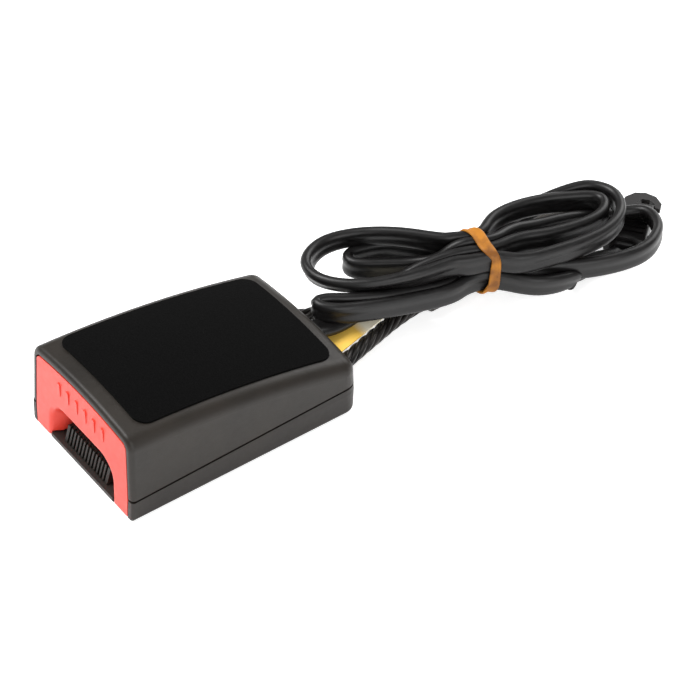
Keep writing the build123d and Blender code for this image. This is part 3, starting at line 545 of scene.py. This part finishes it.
@dataclass
class Route:
    """A cord's line: a NURBS spline over given points, each with its twist about the line."""

    points: list[RoutePoint]
    resolution: int = 16
    order: int = 3

    def read(self, controls: list[Point]) -> list[Vector]:
        """Read the points of a NURBS spline over some control points.

        Args:
            controls: The control points.

        Returns:
            Points along the spline, in the controls' own unit.
        """
        curve = bpy.data.curves.new("route", "CURVE")
        curve.dimensions = "3D"
        spline = curve.splines.new("NURBS")
        spline.points.add(len(controls) - 1)
        for target, place in zip(spline.points, controls):
            target.co = (*place, 1.0)
        spline.order_u = self.order
        spline.use_endpoint_u = True
        spline.resolution_u = self.resolution
        carrier = bpy.data.objects.new("route", curve)
        bpy.context.scene.collection.objects.link(carrier)
        mesh = bpy.data.meshes.new_from_object(carrier)
        found = [vertex.co.copy() for vertex in mesh.vertices]
        bpy.data.objects.remove(carrier)
        bpy.data.curves.remove(curve)
        bpy.data.meshes.remove(mesh)
        return found

    def evenly(self, spacing: float) -> tuple[list[Vector], list[float]]:
        """Walk the spline in equal steps.

        Args:
            spacing: Length of a step in millimetres.

        Returns:
            Points along the line in metres, and the twist in degrees at each.
        """
        places = self.read([point[:3] for point in self.points])
        turns = self.read([(point[3], 0.0, 0.0) for point in self.points])
        runs = [0.0]
        for here, after in zip(places, places[1:]):
            runs.append(runs[-1] + (after - here).length)
        steps = max(2, round(runs[-1] / spacing))
        line = []
        twists = []
        slot = 0
        for step in range(steps + 1):
            run = runs[-1] * step / steps
            while slot < len(runs) - 2 and runs[slot + 1] < run:
                slot += 1
            share = (run - runs[slot]) / max(runs[slot + 1] - runs[slot], TINY)
            line.append(places[slot].lerp(places[slot + 1], min(share, 1.0)) * MM)
            twists.append(turns[slot].lerp(turns[slot + 1], min(share, 1.0)).x)
        return line, twists


def rounded(value: float, power: float) -> float:
    """Raise a sine or cosine to a power with its sign kept: under 1 squares an oval's corners."""
    return math.copysign(abs(value) ** power, value)


def round_section(radius: float, facets: int) -> Section:
    """Outline of a round section, in the radius's own unit."""
    turns = [2 * math.pi * i / facets for i in range(facets)]
    return [(radius * math.cos(turn), radius * math.sin(turn)) for turn in turns]


def frames_along(line: list[Vector], twists: list[float]) -> list[Matrix]:
    """Work out a cross-section frame at each point: X across, Y up, Z along.

    Args:
        line: The points.
        twists: Each frame's turn about the line, in degrees.

    Returns:
        One matrix per point.
    """
    frames = []
    for i, here in enumerate(line):
        ahead = line[min(i + 1, len(line) - 1)]
        behind = line[max(i - 1, 0)]
        along = (ahead - behind).normalized()
        across = along.cross(Vector((0, 0, 1))).normalized()
        up = across.cross(along).normalized()
        turn = Matrix.Rotation(math.radians(twists[i]), 4, along)
        across, up = turn @ across, turn @ up
        frame = Matrix((across, up, along)).transposed().to_4x4()
        frame.translation = here
        frames.append(frame)
    return frames


def sweep_section(work: bmesh.types.BMesh, section: Section, frames: list[Matrix]) -> None:
    """Sweep a closed section along frames and cap its ends, with a UV map along and round it.

    Args:
        work: The bmesh that gets the surface.
        section: Points across and up, in metres.
        frames: The section's frames.
    """
    layer = work.loops.layers.uv.get(UV_ALONG) or work.loops.layers.uv.new(UV_ALONG)
    rings = [[work.verts.new(frame @ Vector((x, y, 0))) for x, y in section] for frame in frames]
    count = len(section)
    run = 0.0
    for index, (ring, after) in enumerate(zip(rings, rings[1:])):
        step = (frames[index + 1].translation - frames[index].translation).length
        for i in range(count):
            j = (i + 1) % count
            face = work.faces.new((ring[i], ring[j], after[j], after[i]))
            corners = ((run, i), (run, i + 1), (run + step, i + 1), (run + step, i))
            for loop, (along, around) in zip(face.loops, corners):
                loop[layer].uv = (along, around / count)
        run += step
    work.faces.new(list(reversed(rings[0])))
    work.faces.new(rings[-1])


@dataclass
class WireRope:
    """One leg of the stalk: six strands laid round a core."""

    side: int
    name: str
    node: str
    diameter: float = 3.7
    strands: int = 6
    lay_length: float = 20.0
    strand_swell: float = 1.04
    core_swell: float = 1.15
    facets: int = 10
    spacing: float = 0.6
    resolution: int = 40
    points: tuple[Point, ...] = (
        (10.5, 23.9, 4.4),
        (10.4, 29.9, 4.3),
        (7.3, 39.6, 3.6),
        (2.4, 55.6, 2.6),
        (2.2, 61.8, 2.4),
    )

    def strand_line(self, frames: list[Matrix], start: float, orbit: float) -> list[Vector]:
        """Lay one strand round the leg's line.

        Args:
            frames: The leg's frames.
            start: Where round the leg the strand starts, as a share of a turn.
            orbit: Distance from the leg's line to the strand's, in metres.

        Returns:
            The strand's line, in metres.
        """
        run = 0.0
        laid = []
        for before, frame in zip(frames[:1] + frames, frames):
            run += (frame.translation - before.translation).length
            angle = 2 * math.pi * (start + run / (self.lay_length * MM))
            laid.append(frame @ Vector((orbit * math.cos(angle), orbit * math.sin(angle), 0)))
        return laid

    def build(self, finishes: Finishes) -> bpy.types.Object:
        """Args:
            finishes: The buckle's finishes.

        Returns:
            The leg's object.
        """
        route = Route([(self.side * x, y, z, 0.0) for x, y, z in self.points], self.resolution)
        line, level = route.evenly(self.spacing)
        radius = self.diameter * MM / 2
        strand_radius = radius / 3 * self.strand_swell
        orbit = radius - strand_radius
        frames = frames_along(line, level)
        work = bmesh.new()
        sweep_section(work, round_section(strand_radius * self.core_swell, self.facets), frames)
        for strand in range(self.strands):
            laid = self.strand_line(frames, strand / self.strands, orbit)
            sweep_section(work, round_section(strand_radius, self.facets), frames_along(laid, level))
        piece = object_from(work, self.name)
        finishes.dress(ROPE, piece)
        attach(piece, Body.HOUSING.value)
        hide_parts(self.node)
        return piece


# Each point is x, y, z and the lead's twist in degrees.
LEAD_ROUTE: tuple[RoutePoint, ...] = (
    # out of the housing and under the low near loop
    (0.6, 25.4, 8.9, 90), (0.6, 30.6, 9.0, 90), (0.7, 35.5, 7.4, 90), (0.2, 40.4, 6.9, 88),
    (-0.3, 46.5, 7.4, 70), (0.1, 53.0, 9.8, 30), (1.9, 59.8, 12.5, 5), (5.0, 68.3, 14.4, 0),
    # inner far loop
    (8.5, 75.5, 14.4, 0), (8.6, 83.0, 14.2, 0), (11.3, 89.6, 13.9, 0), (13.2, 98.9, 13.6, 0),
    (13.0, 104.8, 13.5, 0), (10.9, 108.2, 13.5, 0), (8.4, 109.0, 13.5, 0), (6.0, 107.2, 13.5, 0),
    (3.8, 103.1, 13.6, 0), (1.3, 97.6, 13.9, 0), (-0.3, 91.4, 14.2, 0), (-0.7, 86.4, 14.3, 0),
    (0.0, 82.1, 14.4, 0),
    # outer near loop
    (3.3, 76.6, 14.4, 0), (0.3, 71.2, 14.4, 0), (-1.0, 69.1, 14.2, -3), (-8.5, 63.1, 14.1, -8),
    (-14.7, 56.9, 13.2, -14), (-17.9, 50.5, 12.6, -10), (-17.9, 45.2, 12.4, 0), (-15.1, 40.4, 12.4, 14),
    (-10.9, 39.1, 12.4, 28), (-5.9, 40.6, 12.8, 36), (-0.8, 45.2, 13.4, 36), (2.6, 51.1, 14.0, 30),
    (5.2, 57.4, 14.3, 16), (6.9, 66.3, 14.4, 4),
    # outer far loop
    (8.6, 68.5, 14.4, 0), (10.6, 74.7, 14.4, 0), (15.5, 79.0, 14.3, 0), (17.3, 87.3, 14.2, 0),
    (18.7, 96.1, 14.0, 0), (18.1, 104.1, 14.0, 0), (15.0, 109.6, 14.0, 0), (10.5, 112.1, 14.0, 0),
    (6.9, 111.8, 14.0, 0), (3.3, 109.4, 13.9, 0), (1.8, 105.7, 13.7, 0), (0.3, 101.3, 12.8, 0),
    (-1.0, 96.1, 11.7, 0), (-1.4, 90.0, 10.0, 0), (0.3, 84.1, 8.7, 0),
    # inner near loop
    (5.0, 76.9, 8.8, 0), (2.1, 71.1, 8.8, 0), (-3.2, 69.3, 8.5, 0), (-8.2, 64.7, 8.4, 0),
    (-12.7, 60.7, 8.4, 0), (-14.1, 55.4, 8.6, 0), (-14.7, 52.1, 8.7, 0), (-12.7, 50.5, 8.7, 0),
    (-10.3, 51.6, 8.7, 0), (-6.5, 56.7, 8.8, 0), (-2.5, 62.5, 9.1, 0), (1.3, 66.8, 10.7, 0),
    # low far loop, up inside the inner one
    (3.0, 70.8, 14.9, 0), (6.4, 77.5, 14.4, 0), (4.6, 84.6, 13.4, 0), (5.7, 91.0, 12.1, 0),
    (6.7, 97.6, 11.4, 0), (7.6, 103.0, 10.5, 5), (7.8, 108.4, 8.2, 22), (8.3, 115.0, 7.5, 40),
    (11.6, 119.3, 7.9, 30), (15.2, 119.6, 8.4, 14), (18.7, 118.1, 8.8, 6), (21.5, 115.6, 9.2, 0),
    (24.4, 110.2, 9.3, 0), (24.1, 103.4, 9.3, 0), (21.4, 95.5, 9.2, 0), (17.5, 88.9, 9.0, 0),
    (13.8, 83.6, 8.8, 0),
    # low near loop, against the housing
    (7.0, 77.1, 8.7, 0), (4.0, 68.8, 8.8, 0), (7.9, 65.6, 8.7, 0), (5.1, 56.2, 9.1, 0),
    (3.4, 48.5, 10.2, 0), (0.3, 41.3, 11.0, 0), (-2.8, 37.3, 11.0, 0), (-3.6, 34.4, 10.9, 0),
    (-1.2, 34.6, 10.8, 0), (2.2, 38.5, 10.7, 0), (4.4, 46.1, 9.8, 0), (6.8, 55.1, 8.9, 0),
    (9.4, 63.8, 8.7, 0),
    # tail, down to the connector
    (8.4, 69.5, 8.7, 0), (10.4, 75.0, 8.8, 0), (17.6, 80.5, 8.5, 2), (19.7, 85.8, 7.8, 6),
    (19.8, 92.3, 6.7, 20), (18.6, 92.2, 4.9, 46), (15.7, 97.7, 3.4, 74), (14.1, 102.3, 2.2, 90),
    (14.9, 105.8, 2.3, 90), (16.6, 109.0, 2.3, 90), (15.3, 110.9, 2.3, 90),
)


@dataclass
class SensorLead:
    """Flat twin cable, wound into loops that lie on edge and end in the connector."""

    width: float = 5.6
    thickness: float = 2.5
    groove: float = 0.22
    groove_reach: float = 0.55
    facet_angle: int = 12
    spacing: float = 0.8

    def section(self) -> Section:
        """Outline of the twin-core sheath: two round edges with a shallow groove between.

        Returns:
            Points across (X, the thickness) and up (Y, the width), in metres.
        """
        radius = self.thickness / 2
        centre = self.width / 2 - radius
        angles = range(-90, 91, self.facet_angle)
        heights = [self.width / 2 * math.sin(math.radians(a)) for a in angles]
        right = []
        for height in heights:
            over = abs(height) - centre
            reach = math.sqrt(max(radius**2 - max(over, 0.0) ** 2, 0.0))
            reach -= self.groove * math.exp(-((height / self.groove_reach) ** 2))
            right.append((reach * MM, height * MM))
        left = [(-x, y) for x, y in reversed(right[1:-1])]
        return right + left

    def build(self, finishes: Finishes) -> list[bpy.types.Object]:
        """Args:
            finishes: The buckle's finishes.

        Returns:
            The lead, alone in a list.
        """
        line, twists = Route(list(LEAD_ROUTE)).evenly(self.spacing)
        work = bmesh.new()
        sweep_section(work, self.section(), frames_along(line, twists))
        piece = object_from(work, "sensor_lead")
        finishes.dress(SHEATH, piece)
        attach(piece, Body.HOUSING.value)
        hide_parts("sensor_cable", "cable_hank", "cable_tail")
        return [piece]


@dataclass
class TieBand:
    """Rubber band round the wound lead, with its angles in degrees."""

    centre: Point = (5.96, 73.18, 11.6)
    heading: float = 21.0
    half_width: float = 5.9
    half_height: float = 6.1
    loop_power: float = 0.42
    width: float = 2.7
    thickness: float = 0.8
    edge_power: float = 0.5
    face_power: float = 0.7
    skew: Point = (2.2, 0.6, 0.6)
    ripple: float = 0.25
    ripple_scale: float = 2.0
    ripple_slice: float = 0.3
    crease: float = 0.3
    crease_reach: float = 0.25
    lean: float = 24.0
    lean_phase: float = 0.8
    lean_lift: float = 0.35
    pinch: float = 0.18
    pinches: int = 3
    facets: int = 96
    section_facets: int = 16

    def section(self) -> Section:
        """Rounded flat section of the band, creased along its outside.

        Returns:
            Points across and out, in millimetres.
        """
        points = []
        for c, s in round_section(1.0, self.section_facets):
            across = self.width / 2 * rounded(c, self.edge_power)
            height = self.thickness / 2 * rounded(s, self.face_power)
            if s > 0:
                height -= self.crease * math.exp(-((c / self.crease_reach) ** 2))
            points.append((across, height))
        return points

    def loop(self) -> list[Vector]:
        """Closed line of the band, a squared oval that wanders along the lead.

        Returns:
            Points in millimetres: across the lead, along it and up.
        """
        points = []
        for c, s in round_section(1.0, self.facets):
            spot = Vector((c * self.ripple_scale, s * self.ripple_scale, self.ripple_slice))
            drift = self.skew[0] * c + self.skew[1] * s + self.skew[2]
            drift += self.ripple * noise.noise(spot)
            across = self.half_width * rounded(c, self.loop_power)
            points.append(Vector((across, drift, self.half_height * rounded(s, self.loop_power))))
        return points

    def ring(self, here: Vector, along: Vector, turn: float) -> list[Vector]:
        """Place the section at one point of the band's line.

        Args:
            here: The point.
            along: The line's direction there.
            turn: How far round the line the point is, in radians.

        Returns:
            The section's points, in millimetres.
        """
        out = Vector((0, 1, 0)).cross(along).normalized()
        side = along.cross(out).normalized()
        lean = math.radians(self.lean * math.sin(turn + self.lean_phase))
        narrow = 1.0 - self.pinch * math.sin(self.pinches * turn)
        ring = []
        for across, height in self.section():
            a = across * narrow
            sideways = a * math.cos(lean) - height * math.sin(lean)
            outwards = a * math.sin(lean) * self.lean_lift + height
            ring.append(here + (side * sideways + out * outwards))
        return ring

    def build(self, finishes: Finishes) -> list[bpy.types.Object]:
        """Make the band.

        Args:
            finishes: The buckle's finishes.

        Returns:
            The band, alone in a list.
        """
        turned = Matrix.Rotation(math.radians(-self.heading), 4, "Z")
        place = Matrix.Translation(Vector(self.centre) * MM) @ turned
        work = bmesh.new()
        loop = self.loop()
        rings = []
        for i, here in enumerate(loop):
            along = (loop[(i + 1) % self.facets] - loop[i - 1]).normalized()
            ring = self.ring(here, along, 2 * math.pi * i / self.facets)
            rings.append([work.verts.new(place @ (point * MM)) for point in ring])
        for ring, after in zip(rings, rings[1:] + rings[:1]):
            for i in range(self.section_facets):
                j = (i + 1) % self.section_facets
                work.faces.new((ring[i], ring[j], after[j], after[i]))
        piece = object_from(work, "tie_band")
        finishes.dress(BAND, piece)
        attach(piece, Body.HOUSING.value)
        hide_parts("rubber_band")
        return [piece]


@dataclass
class Stalk:
    """Wire rope legs, ferrule, anchor plate and marker tag."""

    legs: tuple[WireRope, ...] = (
        WireRope(1, "rope_leg_right", "wire_rope_right"),
        WireRope(-1, "rope_leg_left", "wire_rope_left"),
    )

    def build(self, finishes: Finishes) -> list[bpy.types.Object]:
        """Make the legs and dress the rigid pieces.

        Args:
            finishes: The buckle's finishes.

        Returns:
            The stalk's pieces.
        """
        pieces = finishes.dress_nodes(PLATE, "rope_ferrule", "anchor_plate")
        pieces += finishes.dress_nodes(TAG, "marker_tag")
        return pieces + [leg.build(finishes) for leg in self.legs]


@dataclass
class Connector:
    """Two-way plug on the end of the lead."""

    def build(self, finishes: Finishes) -> list[bpy.types.Object]:
        """Dress the CAD pieces and return them."""
        pieces = finishes.dress_nodes(CONNECTOR, "connector_housing")
        return pieces + finishes.dress_nodes(CONTACT, "connector_terminals")


@dataclass
class Housing:
    """Covers, felt pad and press button, dressed as moulded and flocked pieces."""

    def build(self, finishes: Finishes) -> list[bpy.types.Object]:
        """Dress the CAD pieces and return them."""
        pieces = finishes.dress_nodes(COVER, "upper_cover")
        pieces += finishes.dress_nodes(TRAY, "lower_cover")
        pieces += finishes.dress_nodes(FELT, "felt_pad")
        return pieces + finishes.dress_nodes(BUTTON, "press_button")


@dataclass(frozen=True)
class ReturnSpring:
    """A spring of the mechanism, the joint that shortens it, and by how much at most."""

    node: str
    joint: str
    axis: Point
    fixed_end: float
    travel: float

    def follow(self) -> None:
        """Give the spring its own copy of its mesh."""
        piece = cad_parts[self.node]
        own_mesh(piece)


@dataclass
class Mechanism:
    """Frame, latch, ejector, springs and sensor inside the housing."""

    springs: tuple[ReturnSpring, ...] = (
        ReturnSpring("button_spring_left", "button_slide", (0, 1, 0), -15.4, 5.6),
        ReturnSpring("button_spring_right", "button_slide", (0, 1, 0), -15.4, 5.6),
        ReturnSpring("latch_spring", "latch_lift", (0, 0, 1), 19.3, 4.3),
        ReturnSpring("ejector_spring", "ejector_slide", (0, 1, 0), 12.7, 7.1),
    )

    def build(self, finishes: Finishes) -> list[bpy.types.Object]:
        """Dress the CAD pieces and give each spring its own mesh.

        Args:
            finishes: The buckle's finishes.

        Returns:
            The mechanism's pieces.
        """
        steel = ("buckle_frame", "latch_plate", "latch_pivot_pin", "rope_terminals")
        pieces = finishes.dress_nodes(ZINC, *steel)
        pieces += finishes.dress_nodes(SPRING, *(spring.node for spring in self.springs))
        for spring in self.springs:
            spring.follow()
        pieces += finishes.dress_nodes(SLIDER, "ejector")
        pieces += finishes.dress_nodes(MAGNET, "ejector_magnet")
        pieces += finishes.dress_nodes(CONNECTOR, "sensor_housing")
        pieces += finishes.dress_nodes(BOARD, "sensor_board")
        pieces += finishes.dress_nodes(CORE, "sensor_leads")
        return pieces + finishes.dress_nodes(GROMMET, "cable_grommet")


@dataclass(frozen=True)
class Lamp:
    """A square soft lamp: its name, its place and side in metres, and its power in watts."""

    name: str
    place: Point
    size: float
    watts: float

    def hang(self, aim: Point) -> None:
        """Add the lamp to the scene, turned to a point.

        Args:
            aim: The point that it faces, in metres.
        """
        data = bpy.data.lights.new(self.name, "AREA")
        data.shape = "SQUARE"
        data.size = self.size
        data.energy = self.watts
        lamp = bpy.data.objects.new(self.name, data)
        bpy.context.scene.collection.objects.link(lamp)
        lamp.location = self.place
        beam = Vector(aim) - Vector(self.place)
        lamp.rotation_euler = beam.to_track_quat("-Z", "Y").to_euler()


@dataclass
class Studio:
    """Camera, floor and soft lights; angles are in degrees, and the lamps' aim is in metres."""

    azimuth: float = 52.51
    elevation: float = 42.52
    roll: float = 1.11
    focal_pixels: float = 2496.75
    distance: float = 551.87
    target: Point = (11.92, 32.92, 10.0)
    frame_pixels: float = 700.0
    sensor: float = 36.0
    nearest: float = 10.0
    farthest: float = 20000.0
    floor_half_side: float = 6000.0
    surround: float = 0.38
    aim: Point = (0.0, 0.045, 0.0)
    lamps: tuple[Lamp, ...] = (
        Lamp("key", (-0.35, -0.25, 0.75), 0.5, 8.5),
        Lamp("fill", (0.75, -0.15, 0.4), 0.7, 4.5),
        Lamp("back", (-0.2, 0.8, 0.55), 0.6, 5.0),
    )

    def camera(self) -> None:
        """Make the camera and look through it."""
        a, e, r = (math.radians(v) for v in (self.azimuth, self.elevation, self.roll))
        forward = Vector((-math.sin(a) * math.cos(e), math.cos(a) * math.cos(e), -math.sin(e)))
        flat = Vector((math.cos(a), math.sin(a), 0))
        upright = flat.cross(forward)
        right = flat * math.cos(r) + upright * math.sin(r)
        up = upright * math.cos(r) - flat * math.sin(r)
        data = bpy.data.cameras.new("camera")
        data.sensor_width = self.sensor
        data.lens = self.focal_pixels / self.frame_pixels * self.sensor
        data.clip_start = self.nearest * MM
        data.clip_end = self.farthest * MM
        camera = bpy.data.objects.new("camera", data)
        frame = Matrix((right, up, -forward)).transposed().to_4x4()
        frame.translation = (Vector(self.target) - forward * self.distance) * MM
        camera.matrix_world = frame
        bpy.context.scene.collection.objects.link(camera)
        bpy.context.scene.camera = camera

    def floor(self) -> None:
        """Lay the pale floor."""
        work = bmesh.new()
        size = self.floor_half_side * MM
        bmesh.ops.create_grid(work, x_segments=2, y_segments=2, size=size)
        piece = object_from(work, "floor")
        piece.data.materials.append(FloorPaint().build())

    def world(self) -> None:
        """Set an even pale surround, white to the camera."""
        world = bpy.data.worlds.new("surround")
        bpy.context.scene.world = world
        world.use_nodes = True
        tree = world.node_tree
        background = tree.nodes["Background"]
        path = tree.nodes.new("ShaderNodeLightPath")
        level = tree.nodes.new("ShaderNodeMapRange")
        level.inputs["To Min"].default_value = self.surround
        level.inputs["To Max"].default_value = 1.0
        tree.links.new(path.outputs["Is Camera Ray"], level.inputs["Value"])
        tree.links.new(level.outputs["Result"], background.inputs["Strength"])
        background.inputs["Color"].default_value = (1, 1, 1, 1)

    def light(self) -> None:
        """Place the floor, the surround and the lamps."""
        bpy.context.scene.view_settings.view_transform = "Standard"
        self.floor()
        self.world()
        for lamp in self.lamps:
            lamp.hang(self.aim)


def main() -> None:
    """Set the camera, build the sub-assemblies, report each piece and light the scene."""
    studio = Studio()
    studio.camera()
    finishes = Finishes()
    for part in (TieBand(), SensorLead(), Stalk(), Connector(), Housing(), Mechanism()):
        for piece in part.build(finishes):
            LOG.info("%s: %s, %d faces", type(part).__name__, piece.name, len(piece.data.polygons))
    studio.light()


if __name__ == "__main__":
    logging.basicConfig(level=logging.INFO)
    main()
